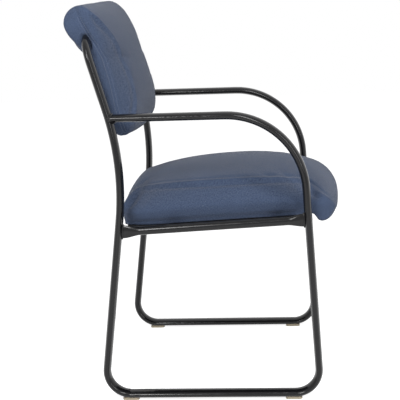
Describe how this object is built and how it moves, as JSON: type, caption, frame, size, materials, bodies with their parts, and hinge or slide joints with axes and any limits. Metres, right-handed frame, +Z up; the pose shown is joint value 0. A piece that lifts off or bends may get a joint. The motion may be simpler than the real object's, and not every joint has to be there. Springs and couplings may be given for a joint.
{
  "type": "visitor chair",
  "caption": "Sled base visitor chair with closed-loop oval steel side frames, loop arms and an upholstered seat and back.",
  "frame": {"origin": "on the floor under the middle of the chair's overall length and width", "axes": "+Z up, the sitter faces -Y, +X to the sitter's left"},
  "size_m": [0.5588, 0.5808, 0.8535],
  "materials": {
    "frame_black": "glossy black powder coat",
    "weld_black": "black powder coat over a weld bead",
    "bar_black": "satin black powder coat",
    "glide_clear": "smoky translucent beige plastic",
    "plug_black": "matte black plastic",
    "fabric_blue": "woven slate blue polyester",
    "dust_cover_black": "black non-woven sheet",
    "foam": "moulded foam",
    "plywood": "raw plywood",
    "zinc": "zinc plated",
    "bolt_black": "black oxide"
  },
  "bodies": {
    "root": {"arm_welds": "weld_black", "back_bar": "bar_black", "back_board": "plywood", "back_bolts": "bolt_black", "back_foam": "foam", "back_front_cover": "fabric_blue", "back_rear_cover": "fabric_blue", "back_rear_pad": "foam", "back_t_nuts": "zinc", "cross_rail_front": "bar_black", "cross_rail_rear": "bar_black", "cross_rail_welds": "weld_black", "glide_front_left": "glide_clear", "glide_front_right": "glide_clear", "glide_rear_left": "glide_clear", "glide_rear_right": "glide_clear", "saddle_screws": "zinc", "saddles": "zinc", "seat_board": "plywood", "seat_bolts": "bolt_black", "seat_cover": "fabric_blue", "seat_dust_cover": "dust_cover_black", "seat_foam": "foam", "seat_rail_left": "frame_black", "seat_rail_right": "frame_black", "seat_rail_welds": "weld_black", "seat_t_nuts": "zinc", "seat_washers": "zinc", "side_loop_left": "frame_black", "side_loop_right": "frame_black", "stub_plugs": "plug_black"}
  },
  "joints": []
}
